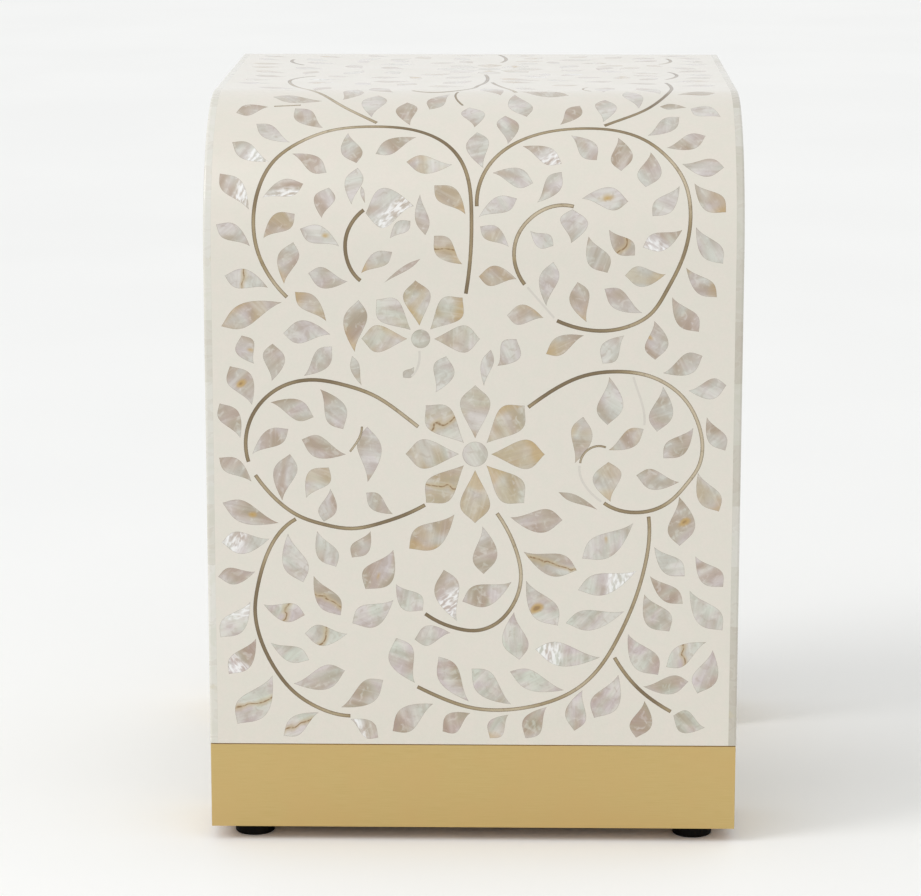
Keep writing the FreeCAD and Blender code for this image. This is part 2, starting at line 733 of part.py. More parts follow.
def front_run(station):
    if station < side_leg_run:
        return side_mid_y, leg_z + station, math.pi / 2
    angle = (station - side_leg_run) / side_mid_radius
    if angle < math.pi / 2:
        across = arc_y - side_mid_radius * math.cos(angle)
        return across, arc_z + side_mid_radius * math.sin(angle), math.pi / 2 - angle
    return arc_y + station - side_leg_run - side_arc_run, side_mid_z, 0.0


def back_run(station):
    return side_back_y, leg_z + station, math.pi / 2


def beside(run, station, offset):
    across, along, heading = run(station)
    return Vector2d(across - offset * math.sin(heading), along + offset * math.cos(heading))


def side_run_outlines(run, length):
    waves = max(1, round(length / side_pitch))
    eighth = length / waves / 8
    points = []
    leaves = []
    for index in range(8 * waves + 1):
        station = side_margin + index * eighth
        points.append(beside(run, station, side_wave * math.sin(index * math.pi / 4)))
        if index % 4 == 2:
            swing = 1 if index % 8 == 2 else -1
            tail = beside(run, station - side_leaf_length / 2, -swing * side_leaf_tail)
            tip = beside(run, station + side_leaf_length / 2, -swing * side_margin)
            leaves.append(leaf_outline(tail, tip, swing * side_leaf_width))
            start = station + outer_leaf_start
            outer_tail = beside(run, start, swing * outer_leaf_tail)
            outer_tip = beside(run, start + side_leaf_length, swing * outer_leaf_tip)
            leaves.append(leaf_outline(outer_tail, outer_tip, -swing * side_leaf_width))
    return vine_outline(points, side_vine_width), leaves


def side_zone():
    return FlatZone(
        Vector(half_width, 0, 0), Vector(0, 1, 0), Vector(0, 0, 1), Vector(-1, 0, 0),
        slab_profile(skin, half_width), 0, table_height
    )


def side_inlay():
    zone = side_zone()
    front_vine, front_side_leaves = side_run_outlines(
        front_run, side_leg_run + side_arc_run + side_top_run - 3 * side_margin
    )
    back_vine, back_side_leaves = side_run_outlines(back_run, soffit_z - leg_z - side_margin)
    vine_faces = zone.inlay([front_vine, back_vine], [])
    leaf_faces = zone.inlay(front_side_leaves + back_side_leaves, vine_faces)
    return zone.solids(vine_faces), zone.solids(leaf_faces), zone.skin_solid(vine_faces + leaf_faces)


side_vines, side_leaves, side_skin = side_inlay()
save("right_side_vine_strips", side_vines)
save("right_side_leaf_inlays", side_leaves)
save("right_side_resin_skin", [side_skin])
save("left_side_vine_strips", [mirrored(piece) for piece in side_vines])
save("left_side_leaf_inlays", [mirrored(piece) for piece in side_leaves])
save("left_side_resin_skin", [mirrored(side_skin)])


# Dowels in the three pairs of corner joints

def dowel(x, y, z, axis):
    middle = Vector(x, y, z)
    return Part.makeCylinder(dowel_diameter / 2, dowel_length, middle - axis * (dowel_length / 2), axis)


rib_x = core_x - rib_thickness / 2
front_core_inner_y = front_inner_y - panel
back_core_inner_y = back_inner_y + panel
soffit_top_z = soffit_z + panel
upright = Vector(0, 0, 1)
level = Vector(0, 1, 0)

leg_dowels = []
rib_dowels = []
back_dowels = []
for side in (-1, 1):
    for y in (front_core_y + dowel_inset, front_core_inner_y - dowel_inset):
        leg_dowels.append(dowel(side * rib_x, y, arc_z, upright))
    for z in (soffit_top_z + dowel_inset, top_core_z - dowel_inset):
        rib_dowels.append(dowel(side * rib_x, arc_y, z, level))
    for y in (back_core_inner_y + dowel_inset, back_core_y - dowel_inset):
        back_dowels.append(dowel(side * rib_x, y, soffit_top_z, upright))
save("corner_dowels", leg_dowels + rib_dowels + back_dowels)


# Carcass of the front leg, the round corner, the top and the back leg

def both_sides(x_from, x_to, y_from, y_to, z_from, z_to):
    right = box(x_from, x_to, y_from, y_to, z_from, z_to)
    return [mirrored(right), right]


def drilled(solids, tools):
    return [solid.cut(tools) for solid in solids]


save("front_outer_panel", [box(-core_x, core_x, front_y + skin, front_core_y, leg_z, arc_z)])
save("front_inner_panel", [box(-core_x, core_x, front_core_inner_y, front_inner_y, leg_z, arc_z)])
front_stiles = both_sides(stile_x, core_x, front_core_y, front_core_inner_y, leg_z, arc_z)
save("front_stiles", drilled(front_stiles, leg_dowels))

save("corner_bent_panel", [quarter_ring(bent_outer, bent_inner, -core_x, core_x)])
save("corner_inner_cove", [quarter_ring(cove_outer, cove_radius, -core_x, core_x)])
end_rib = quarter_ring(bent_inner, cove_outer, core_x - rib_thickness, core_x)
middle_rib = quarter_ring(bent_inner, cove_outer, -rib_thickness / 2, rib_thickness / 2)
save("corner_ribs", drilled([mirrored(end_rib), middle_rib, end_rib], leg_dowels + rib_dowels))

save("top_panel", [box(-core_x, core_x, arc_y, back_y - skin, top_core_z, table_height - skin)])
save("soffit_panel", [box(-core_x, core_x, arc_y, back_core_inner_y, soffit_z, soffit_top_z)])
top_rails = both_sides(stile_x, core_x, arc_y, back_core_y, soffit_top_z, top_core_z)
save("top_side_rails", drilled(top_rails, rib_dowels + back_dowels))
rib_y = (arc_y + back_core_inner_y) / 2
save("top_middle_rib", [
    box(-stile_x, stile_x, rib_y - rib_thickness / 2, rib_y + rib_thickness / 2, soffit_top_z, top_core_z)
])
save("back_corner_rail", [
    box(-stile_x, stile_x, back_core_inner_y, back_core_y, soffit_top_z, top_core_z)
])

save("back_outer_panel", [box(-core_x, core_x, back_core_y, back_y - skin, leg_z, top_core_z)])
save("back_inner_panel", [box(-core_x, core_x, back_inner_y, back_core_inner_y, leg_z, soffit_z)])
back_stiles = both_sides(stile_x, core_x, back_core_inner_y, back_core_y, leg_z, soffit_top_z)
save("back_stiles", drilled(back_stiles, back_dowels))


# Plinths: blocks and rails inside a brass band, screwed up into the bottom rail of each leg

band_x = half_width - band_inset
plinth_x = band_x - band_sheet
block_x = plinth_x - block_length
screw_x = block_x + screw_diameter + screw_head
foot_x = half_width - foot_side_inset


def plinth_screw(x, y):
    seat = base_z + screw_bury
    shank = Part.makeCylinder(screw_diameter / 2, screw_length, Vector(x, y, seat))
    head = Part.makeCylinder(screw_head / 2, screw_head_height, Vector(x, y, seat - screw_head_height))
    return head.fuse(shank)


def foot_insert(x, y):
    body = Part.makeCylinder(insert_diameter / 2, insert_length, Vector(x, y, base_z))
    flange = Part.makeCylinder(insert_flange / 2, flange_height, Vector(x, y, base_z))
    bore = Part.makeCylinder(stud_diameter / 2 + running_gap, insert_length, Vector(x, y, base_z))
    return body.fuse(flange).cut(bore), body.fuse(flange)


def foot_pad(x, y):
    pad = Part.makeCylinder(foot_diameter / 2, pad_height, Vector(x, y, 0))
    rims = [edge for edge in pad.Edges if edge.Closed and len(edge.Vertexes) == 1]
    pad = pad.makeFillet(pad_edge, rims)
    ball = Vector(x, y, pad_height - ball_drop)
    pad = pad.cut(Part.makeSphere(stud_ball / 2 + running_gap, ball))
    return pad.cut(Part.makeCylinder(neck_diameter / 2 + running_gap, pad_height, ball))


def foot_stud(x, y):
    ball = Vector(x, y, pad_height - ball_drop)
    collar_z = pad_height + 2 * running_gap
    shaft_z = collar_z + collar_height
    shaft = Part.makeCylinder(stud_diameter / 2, base_z + stud_engagement - shaft_z, Vector(x, y, shaft_z))
    neck = Part.makeCylinder(neck_diameter / 2, collar_z - ball.z, ball)
    corner_radius = collar_across / math.sqrt(3)
    corners = [
        Vector(x + corner_radius * math.cos(turn), y + corner_radius * math.sin(turn), collar_z)
        for turn in (math.radians(60 * index) for index in range(6))
    ]
    collar = plate(corners).extrude(Vector(0, 0, collar_height))
    return Part.makeSphere(stud_ball / 2, ball).fuse([neck, collar, shaft])


def plinth_band(y_from, y_to):
    top = leg_z - shadow_gap
    outside = box(-band_x, band_x, y_from, y_to, base_z, top)
    uprights = [edge for edge in outside.Edges if edge.BoundBox.ZLength > band_height / 2]
    outside = outside.makeFillet(band_corner, uprights)
    inside = box(-plinth_x, plinth_x, y_from + band_sheet, y_to - band_sheet, base_z, top)
    return outside.cut(inside)


def leg_base(name, y_from, y_to, foot_y):
    near = y_from + band_inset + band_sheet
    far = y_to - band_inset - band_sheet
    middle = (y_from + y_to) / 2
    screws = [
        plinth_screw(side * screw_x, middle + offset)
        for side in (-1, 1) for offset in (-screw_offset, screw_offset)
    ]
    inserts = []
    hollows = []
    for screw in screws:
        centre = screw.BoundBox.Center
        hollows.append(Part.makeCylinder(screw_head / 2, screw_bury, Vector(centre.x, centre.y, base_z)))
    for side in (-1, 1):
        insert, filled = foot_insert(side * foot_x, foot_y)
        inserts.append(insert)
        hollows.append(filled)
        depth = stud_engagement + stud_space
        radius = stud_diameter / 2 + stud_bore_space
        hollows.append(Part.makeCylinder(radius, depth, Vector(side * foot_x, foot_y, base_z)))
    blocks = both_sides(block_x, plinth_x, near, far, base_z, leg_z)
    save(name + "_plinth_blocks", drilled(blocks, screws + hollows))
    save(name + "_plinth_rails", [
        box(-block_x, block_x, near, near + plinth_rail, base_z, leg_z),
        box(-block_x, block_x, far - plinth_rail, far, base_z, leg_z),
    ])
    save(name + "_brass_band", [plinth_band(y_from + band_inset, y_to - band_inset)])
    save(name + "_plinth_screws", screws)
    save(name + "_foot_inserts", inserts)
    return screws


def leg_feet(name, foot_y):
    for side, hand in ((-1, "left"), (1, "right")):
        save(name + "_" + hand + "_foot_pad", [foot_pad(side * foot_x, foot_y)])
        save(name + "_" + hand + "_foot_stud", [foot_stud(side * foot_x, foot_y)])


front_screws = leg_base("front", front_y, front_inner_y, front_y + foot_face_inset)
back_screws = leg_base("back", back_inner_y, back_y, back_y - foot_face_inset)
leg_feet("front", front_y + foot_face_inset)
leg_feet("back", back_y - foot_face_inset)

front_rail = box(-stile_x, stile_x, front_core_y, front_core_inner_y, leg_z, leg_z + rail_height)
back_rail = box(-stile_x, stile_x, back_core_inner_y, back_core_y, leg_z, leg_z + rail_height)
save("front_bottom_rail", drilled([front_rail], front_screws))
save("back_bottom_rail", drilled([back_rail], back_screws))
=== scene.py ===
import math
import random

import bpy
from mathutils import Matrix, Vector


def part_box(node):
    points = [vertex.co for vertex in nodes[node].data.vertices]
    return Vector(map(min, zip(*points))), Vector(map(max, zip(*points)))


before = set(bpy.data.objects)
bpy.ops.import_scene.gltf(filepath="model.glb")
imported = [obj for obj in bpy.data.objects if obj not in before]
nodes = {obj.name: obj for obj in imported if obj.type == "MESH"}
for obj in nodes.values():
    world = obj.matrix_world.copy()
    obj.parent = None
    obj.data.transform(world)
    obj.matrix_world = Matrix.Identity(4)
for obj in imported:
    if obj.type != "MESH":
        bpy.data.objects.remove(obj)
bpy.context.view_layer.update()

# Camera: place in metres, angles in degrees, lens and sensor in millimetres, photograph in pixels

camera_place = Vector((0.0367, -2.7217, 0.8407))
camera_pitch = 11.94
camera_yaw = -1.048
camera_roll = 0.014
camera_lens = 134.96
camera_sensor = 36.0
photo_width = 921
photo_height = 896

# Light and stage: lengths in metres, angles in degrees, power in watts

backdrop_tone = (246, 246, 245)
ambient_tone = (254, 255, 255)
ambient_strength = 0.812
sun_heading = Vector((1.0, 0.4))
sun_elevation = 35.0
sun_softness = 22.0
sun_strength = 0.72
fill_place = Vector((-0.9, -0.95, 1.5))
fill_aim = Vector((-0.6, -0.7, 0.0))
fill_size = 1.4
fill_power = 3.4
floor_half = 30.0
floor_tone = (252, 252, 251)
floor_low_tone = (250, 250, 249)
floor_cloud_waves = 1.5
floor_rough = 0.9
floor_specular = 0.1

# In all the looks below, a tone is a colour of 0 to 255, waves are a count per metre, a width is in
# metres, a span is where in a noise a mask starts and where it is full, a bump is its strength and
# its depth in metres, and a rough is the roughness from and to

wide_span = (0.3, 0.7)
middle_span = (0.35, 0.65)
half_way = 0.5

# Rims: how well a rounded normal agrees with the face on the flat and at the rim, and its samples

edge_flat = 0.98
edge_rim = 0.82
edge_samples = 6

# Half the width beside a seam line that shows no rim

seam_half = 0.0012

# The clear polish over resin, shell and vines

polish = {"Coat Weight": 0.75, "Coat Roughness": 0.18}

# Resin

resin_warm = (224, 217, 206)
resin_cool = (221, 217, 205)
resin_dark = (218, 212, 201)
resin_mottle_waves = 90.0
resin_grain_waves = 520.0
resin_grain_strength = 0.35
resin_ripple_waves = 160.0
resin_bump = (0.03, 0.0004)
resin_wear_waves = 30.0
resin_wear_detail = 3.0
resin_rough = (0.28, 0.38)

# Looks of the inlays: the share that has each by chance where the photograph doesn't show it,
# and the places where it does, as pixels of the photograph that were picked

inlay_looks = {
    "veins": (0.12, [
        (437, 425), (444, 487), (550, 568), (334, 634), (250, 277), (446, 252), (626, 246), (688, 655),
        (255, 702), (299, 723), (286, 614), (318, 635), (325, 592), (337, 676),
    ]),
    "gold": (0.30, [
        (509, 423), (521, 453), (510, 486), (479, 500), (432, 536), (580, 436), (282, 222), (252, 311),
        (312, 306), (352, 320), (450, 199), (421, 163), (379, 260), (417, 297), (450, 311), (386, 340),
        (359, 370), (646, 278), (710, 207), (700, 286), (525, 318), (562, 345), (494, 239), (498, 277),
        (580, 304), (631, 438), (711, 496), (606, 484), (496, 725), (317, 488), (289, 261), (446, 252),
    ]),
    "spots": (0.08, [
        (382, 571), (542, 605), (321, 240), (248, 349), (241, 377), (605, 201), (653, 341), (680, 526),
        (246, 509), (606, 543),
    ]),
    # The glint look paints a highlight: white patches in the shell's colour
    "glint": (0.08, [
        (444, 589), (569, 657), (610, 586), (250, 154), (237, 190), (286, 188), (550, 157), (660, 245),
        (244, 544), (242, 662), (242, 630), (362, 727), (389, 211),
    ]),
    "pale": (0.0, [(541, 304), (587, 484), (639, 399), (418, 362)]),
}

# How near such a place is to an inlay's middle, and the steps per metre to which corners are matched

pick_reach = 0.011
weld_steps = 50000

# Seeds of the chances, how far they are spread, and what sets a second draw and the grain apart

leaf_seed = 7
petal_seed = 3
chance_spread = 100.0
second_draw = 200.0
turn_shift = 3.0

# Tones of the shell

leaf_stops = [
    (0.30, (170, 153, 134)), (0.42, (185, 172, 158)), (0.50, (192, 184, 176)), (0.58, (199, 194, 188)),
    (0.70, (212, 209, 203)),
]
petal_stops = [
    (0.30, (178, 160, 130)), (0.42, (190, 178, 157)), (0.50, (195, 188, 174)), (0.58, (200, 196, 186)),
    (0.70, (212, 209, 200)),
]
disc_stops = [
    (0.32, (180, 174, 160)), (0.50, (194, 191, 180)), (0.68, (211, 209, 200)),
]
pale_shell = (220, 218, 211)
taupe_shell = (168, 153, 137)
gold_shell = (190, 170, 131)
amber_shell = (188, 152, 78)
brown_shell = (128, 92, 44)
# The tone of the glints, a painted highlight
painted_glint_tone = (246, 246, 245)
rim_shell = (142, 129, 112)
sea_green = (245, 252, 244)
cream = (255, 253, 250)
lilac = (252, 243, 249)
hue_stops = [(0.36, sea_green), (0.50, cream), (0.64, lilac)]

# Noise layers of the shell: waves across and along the grain, a shift that sets each apart, detail

shell_layers = {
    "broad": (60.0, 34.0, 0.0, 1.0),
    "streaks": (115.0, 22.0, 5.0, 1.5),
    "hue": (75.0, 45.0, 9.0, 1.0),
    "gold": (55.0, 30.0, 13.0, 1.0),
    "wander": (60.0, 75.0, 17.0, 1.0),
    "crinkle": (460.0, 170.0, 21.0, 2.0),
    "fine": (430.0, 26.0, 25.0, 2.0),
}
layer_roughness = 0.45
layer_distortion = 0.4

# Body of the shell: the heights between which leaves get paler and their hues stronger towards the
# floor, then masks, where two more numbers after a span are the mask's strength from and to

low_heights = (0.28, 0.12)
low_lift = 0.05
low_hue = (0.55, 1.0)
chance_lift = (-0.12, 0.12)
streak_depth = (0.05, 0.7)
streak_strength = 0.7
streak_pale_span = (0.50, 0.70)
streak_taupe_span = (0.48, 0.30)
mottle_waves = 170.0
mottle_distortion = 0.8
mottle_pale = (0.54, 0.68, 0.0, 0.42)
mottle_taupe = (0.46, 0.32, 0.0, 0.34)
fine_taupe = (0.56, 0.36, 0.0, 0.16)
fine_pale = (0.54, 0.70, 0.0, 0.18)
shell_rim_width = 0.0010
shell_rim_strength = 0.7
shell_bump = (0.05, 0.0004)
shell_rough = (0.22, 0.34)

# Gold, veins and spots of the shell, and glints, which are painted highlights in its colour, where a
# reach is in metres from the inlay's middle

gold_span = (0.40, 0.64)
gold_strength = 0.45
gold_end_reach = (0.003, 0.012)
gold_end_strength = 0.5
vein_wander = 0.011
vein_halo_reach = (0.0042, 0.0)
vein_halo_strength = 0.75
vein_line_reach = (0.0009, 0.0002)
vein_line_strength = 0.85
vein_break_waves = 380.0
vein_break_detail = 1.0
vein_break = (0.36, 0.56, 0.3, 1.0)
spot_wander = 0.016
spot_shift = 0.011
spot_stretch = 1.9
spot_glow_reach = (0.0066, 0.0004)
spot_glow_strength = 0.85
spot_core_reach = (0.0012, -0.0016)
spot_core_strength = 0.65
painted_glint_reach = (-0.0022, 0.0050)
painted_glint_crinkle = (0.36, 0.64, 0.1, 1.0)
painted_glint_strength = 0.85

# Vines

vine_stops = [(0.38, (122, 104, 74)), (0.50, (160, 142, 108)), (0.64, (196, 182, 156))]
vine_run_waves = 13.0
vine_fleck_tone = (124, 104, 74)
vine_fleck_waves = 240.0
vine_fleck_span = (0.55, 0.72)
vine_fleck_strength = 0.35
vine_rim_tone = (98, 79, 53)
vine_rim_width = 0.0018
vine_edge_flat = 0.985
vine_edge_rim = 0.86
vine_rim_strength = 0.9
vine_pale_tone = (216, 211, 202)
vine_pale_strength = 0.92
vine_wear_waves = 90.0
vine_rough = (0.34, 0.48)
vine_metallic = 0.4

# Brass bands

band_stops = [(0.32, (201, 175, 117)), (0.50, (204, 179, 122)), (0.68, (207, 182, 126))]
band_line_waves = (55.0, 55.0, 1500.0)
band_drift_tone = (206, 177, 121)
band_drift_waves = 26.0
band_drift = (0.0, 0.6)
band_bump = (0.05, 0.0002)
band_rough = (0.38, 0.46)
band_anisotropic = 0.4

# Shell border: about how long its strips are, and what sets the count of one side apart

border_length = 0.046
side_offset = 40.0
pale_border_stops = [
    (0.0, (209, 206, 196)), (0.4, (220, 218, 209)), (0.7, (215, 214, 207)), (1.0, (225, 223, 216)),
]
# A darker copy of the border's tones for the right side: painted shade on the side turned away from the
# light
painted_shade_border_stops = [
    (0.0, (188, 182, 169)), (0.3, (200, 196, 185)), (0.6, (206, 204, 194)), (1.0, (214, 212, 205)),
]
border_hue_stops = [(0.36, (250, 247, 244)), (0.50, (255, 254, 253)), (0.64, (250, 250, 246))]
border_layer_waves = (60.0, 90.0, 90.0)
border_distortion = 0.8
border_spot_tone = (200, 188, 150)
border_spot_waves = 55.0
border_spot_span = (0.64, 0.72)
border_spot_strength = 0.3
border_rim_tone = (178, 172, 156)
border_rim_width = 0.0007
border_rim_strength = 0.3
border_rough = (0.24, 0.36)

# Lacquer, wood, steel and rubber

lacquer_low_tone = (226, 220, 208)
lacquer_high_tone = (231, 226, 215)
lacquer_cloud_waves = 7.0
lacquer_cloud_detail = 3.0
lacquer_ripple_waves = 240.0
lacquer_bump = (0.06, 0.0005)
lacquer_wear_waves = 40.0
lacquer_rough = (0.40, 0.50)
wood_stops = [(0.30, (156, 118, 76)), (0.50, (190, 152, 106)), (0.70, (210, 176, 130))]
wood_grain_waves = (14.0, 160.0, 160.0)
wood_detail = 4.0
wood_roughness = 0.55
wood_distortion = 0.6
wood_bump = (0.15, 0.0004)
wood_rough = (0.55, 0.70)
steel_stops = [(0.3, (120, 121, 124)), (0.7, (158, 159, 162))]
steel_turning_waves = (60.0, 60.0, 3200.0)
steel_rough = (0.28, 0.44)
rubber_stops = [(0.3, (5, 4, 3)), (0.7, (10, 8, 6))]
rubber_waves = 900.0
rubber_detail = 3.0
rubber_bump = (0.2, 0.0003)
rubber_rough = (0.50, 0.66)
rubber_specular = 0.1

# Where the wrapped sheet turns and how far it runs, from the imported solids

front_low, front_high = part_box("front_resin_skin")
_, corner_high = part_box("corner_resin_skin")
back_low, back_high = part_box("back_resin_skin")
edge_low, edge_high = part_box("back_edge_border_strips")
front_y = front_low.y
leg_z = front_low.z
arc_z = front_high.z
arc_y = corner_high.y
edge_radius = arc_y - front_y
back_y = back_high.y
back_top = back_high.z
skin = back_high.y - back_low.y
front_rise = arc_z - leg_z
top_run = back_y - arc_y
back_rise = back_top - leg_z
quarter_turn = math.pi / 2
full_turn = 2 * math.pi


def linear(tone):
    """A colour of 0 to 255 as the linear values that a shader socket takes, by the sRGB curve."""
    values = []
    for step in tone:
        share = step / 255
        values.append(share / 12.92 if share <= 0.04045 else ((share + 0.055) / 1.055) ** 2.4)
    return (*values, 1.0)


# A small kit for shader trees

class Tree:
    def __init__(self, name):
        self.material = bpy.data.materials.new(name)
        self.material.use_nodes = True
        self.tree = self.material.node_tree
        self.shader = self.tree.nodes["Principled BSDF"]

    def add(self, kind, inputs=(), **settings):
        node = self.tree.nodes.new(kind)
        for key, value in settings.items():
            setattr(node, key, value)
        for socket, value in inputs:
            self.put(node.inputs[socket], value)
        return node

    def put(self, socket, value):
        if isinstance(value, bpy.types.NodeSocket):
            self.tree.links.new(value, socket)
        else:
            socket.default_value = value

    def math(self, operation, first, second=0.0, third=0.0):
        node = self.add("ShaderNodeMath", [(0, first), (1, second), (2, third)], operation=operation)
        return node.outputs[0]

    def vector(self, operation, first, second):
        node = self.add("ShaderNodeVectorMath", [(0, first), (1, second)], operation=operation)
        return node.outputs["Value" if operation == "DOT_PRODUCT" else "Vector"]

    def length(self, vector):
        node = self.add("ShaderNodeVectorMath", [(0, vector)], operation="LENGTH")
        return node.outputs["Value"]

    def combine(self, x, y, z):
        return self.add("ShaderNodeCombineXYZ", [(0, x), (1, y), (2, z)]).outputs[0]

    def parts(self, vector):
        return self.add("ShaderNodeSeparateXYZ", [(0, vector)]).outputs

    def position(self):
        return self.add("ShaderNodeTexCoord").outputs["Object"]

    def noise(self, vector, scale, detail=2.0, roughness=0.5, distortion=0.0):
        node = self.add("ShaderNodeTexNoise", [
            ("Vector", vector), ("Scale", scale), ("Detail", detail), ("Roughness", roughness),
            ("Distortion", distortion),
        ])
        return node.outputs["Fac"]

    def waves(self, vector, counts, **settings):
        """Noise with its own count of waves per metre along each axis."""
        return self.noise(self.vector("MULTIPLY", vector, counts), 1.0, **settings)

    def span(self, value, low, high, to_low=0.0, to_high=1.0):
        node = self.add("ShaderNodeMapRange", [
            ("Value", value), ("From Min", low), ("From Max", high),
            ("To Min", to_low), ("To Max", to_high),
        ], interpolation_type="SMOOTHSTEP")
        return node.outputs["Result"]

    def mix(self, factor, first, second, blend="MIX"):
        node = self.add("ShaderNodeMix", data_type="RGBA", blend_type=blend)
        self.put(node.inputs["Factor"], factor)
        sockets = [s for s in node.inputs if s.type == "RGBA"]
        self.put(sockets[0], first)
        self.put(sockets[1], second)
        return [s for s in node.outputs if s.type == "RGBA"][0]

    def ramp(self, factor, stops):
        node = self.add("ShaderNodeValToRGB", [("Fac", factor)])
        elements = node.color_ramp.elements
        while len(elements) < len(stops):
            elements.new(1.0)
        for element, (place, tone) in zip(elements, stops):
            element.position = place
            element.color = linear(tone)
        return node.outputs["Color"]

    def bump(self, height, strength, distance):
        node = self.add("ShaderNodeBump", [
            ("Strength", strength), ("Distance", distance), ("Height", height),
        ])
        self.put(self.shader.inputs["Normal"], node.outputs["Normal"])

    def chances(self, number):
        """Three chance values for one number."""
        noise = self.add("ShaderNodeTexWhiteNoise", [("W", number)], noise_dimensions="1D")
        return self.parts(noise.outputs["Color"])

    def inlay(self, layer):
        """A value that mark_inlays keeps on the faces of each inlay."""
        return self.add("ShaderNodeAttribute", attribute_name="inlay_" + layer).outputs["Fac"]

    def finish(self, sockets):
        for socket, value in sockets.items():
            self.put(self.shader.inputs[socket], value)
        return self.material


def edge_mask(tree, radius, flat_to=edge_flat, rim_at=edge_rim):
    """1 at the rim of a face and 0 further in than the radius."""
    bevel = tree.add("ShaderNodeBevel", [("Radius", radius)], samples=edge_samples)
    geometry = tree.add("ShaderNodeNewGeometry")
    facing = tree.vector("DOT_PRODUCT", bevel.outputs["Normal"], geometry.outputs["True Normal"])
    return tree.span(facing, flat_to, rim_at)


def off_seams(tree):
    """0 on the two lines where the flat sheets meet the round edge, 1 away from them."""
    _, y, z = tree.parts(tree.position())
    masks = []
    for value, line in ((y, arc_y), (z, arc_z)):
        away = tree.math("ABSOLUTE", tree.math("SUBTRACT", value, line))
        masks.append(tree.span(away, seam_half, 2 * seam_half))
    return tree.math("MULTIPLY", *masks)


# Sheet coordinates for streaks that run in the plane of each inlay

def edge_turn(tree, y, z):
    """The angle on the round edge, from 0 at the front sheet to a quarter turn at the top."""
    up = tree.math("SUBTRACT", z, arc_z)
    forward = tree.math("SUBTRACT", arc_y, y)
    turn = tree.math("MAXIMUM", tree.math("ARCTAN2", up, forward), 0.0)
    return tree.math("MINIMUM", turn, quarter_turn)


def wrapped_sheet(tree):
    x, y, z = tree.parts(tree.position())
    turn = edge_turn(tree, y, z)
    along = tree.math("ADD", tree.math("MINIMUM", z, arc_z), tree.math("MULTIPLY", turn, edge_radius))
    along = tree.math("ADD", along, tree.math("MAXIMUM", tree.math("SUBTRACT", y, arc_y), 0.0))
    return tree.combine(x, along, 0.0)


def back_sheet(tree):
    x, _, z = tree.parts(tree.position())
    return tree.combine(x, z, 0.0)


def side_sheet(tree):
    _, y, z = tree.parts(tree.position())
    return tree.combine(y, z, 0.0)


# The same sheet coordinates for one point

def wrapped_place(point):
    turn = math.atan2(point.z - arc_z, arc_y - point.y)
    turn = min(max(turn, 0.0), quarter_turn)
    along = min(point.z, arc_z) + turn * edge_radius + max(point.y - arc_y, 0.0)
    return point.x, along


def back_place(point):
    return point.x, point.z


def side_place(point):
    return point.y, point.z


# The camera's turn, and what its pixels show

def camera_turn():
    pitch = math.radians(camera_pitch)
    yaw = math.radians(camera_yaw)
    forward = Vector((
        math.sin(yaw) * math.cos(pitch), math.cos(yaw) * math.cos(pitch), -math.sin(pitch),
    ))
    roll = Matrix.Rotation(math.radians(camera_roll), 3, "Z").to_quaternion()
    return forward.to_track_quat("-Z", "Y") @ roll


def seen_place(pixel):
    """The point of the front sheet or the round edge that a pixel of the photograph shows."""
    across, down = pixel
    pixel_size = camera_sensor / camera_lens / photo_width
    right = (across - photo_width / 2) * pixel_size
    up = (photo_height / 2 - down) * pixel_size
    ray = camera_turn() @ Vector((right, up, -1.0))
    on_front = camera_place + ray * ((front_y - camera_place.y) / ray.y)
    if on_front.z <= arc_z:
        return on_front
    from_y = camera_place.y - arc_y
    from_z = camera_place.z - arc_z
    square = ray.y ** 2 + ray.z ** 2
    half = from_y * ray.y + from_z * ray.z
    rest = from_y ** 2 + from_z ** 2 - edge_radius ** 2
    return camera_place + ray * ((-half - math.sqrt(half ** 2 - square * rest)) / square)


# Chance and look of each inlay, kept on its faces and read by its shader

def joined_inlays(pieces):
    """The faces of each inlay, with the two halves of one cut at the round edge counted as one."""
    leader = {}

    def lead(spot):
        while leader[spot] != spot:
            leader[spot] = leader[leader[spot]]
            spot = leader[spot]
        return spot

    faces = []
    for piece in pieces:
        spots = []
        for vertex in piece.data.vertices:
            spots.append(tuple(round(value * weld_steps) for value in vertex.co))
        for spot in spots:
            leader.setdefault(spot, spot)
        for face in piece.data.polygons:
            first = spots[face.vertices[0]]
            faces.append((piece, face, first))
            for index in face.vertices[1:]:
                leader[lead(spots[index])] = lead(first)
    inlays = {}
    for piece, face, first in faces:
        inlays.setdefault(lead(first), []).append((piece, face))
    return list(inlays.values())


def middle_of(faces):
    area = sum(face.area for _, face in faces)
    return sum((face.center * face.area for _, face in faces), Vector()) / area


def picked(middle, places):
    """Whether one of the places is near the middle of an inlay, seen from the front."""
    return any(math.hypot(middle.x - place.x, middle.z - place.z) < pick_reach for place in places)


look_places = {}
for look, (_, pixels) in inlay_looks.items():
    look_places[look] = [seen_place(pixel) for pixel in pixels]


def mark_inlays(names, seed, place_of):
    """Writes each inlay's chance, looks and middle on the sheet to its faces."""
    draw = random.Random(seed)
    pieces = [nodes[name] for name in names]
    for piece in pieces:
        for layer in ("chance", "across", "along", *inlay_looks):
            piece.data.attributes.new("inlay_" + layer, "FLOAT", "FACE")
    for faces in joined_inlays(pieces):
        middle = middle_of(faces)
        across, along = place_of(middle)
        seen = place_of is wrapped_place and middle.y < arc_y
        values = {"chance": draw.random(), "across": across, "along": along}
        for look, (share, _) in inlay_looks.items():
            by_chance = draw.random() < share
            values[look] = float(picked(middle, look_places[look]) if seen else by_chance)
        for piece, face in faces:
            for layer, value in values.items():
                piece.data.attributes["inlay_" + layer].data[face.index].value = value


# Resin

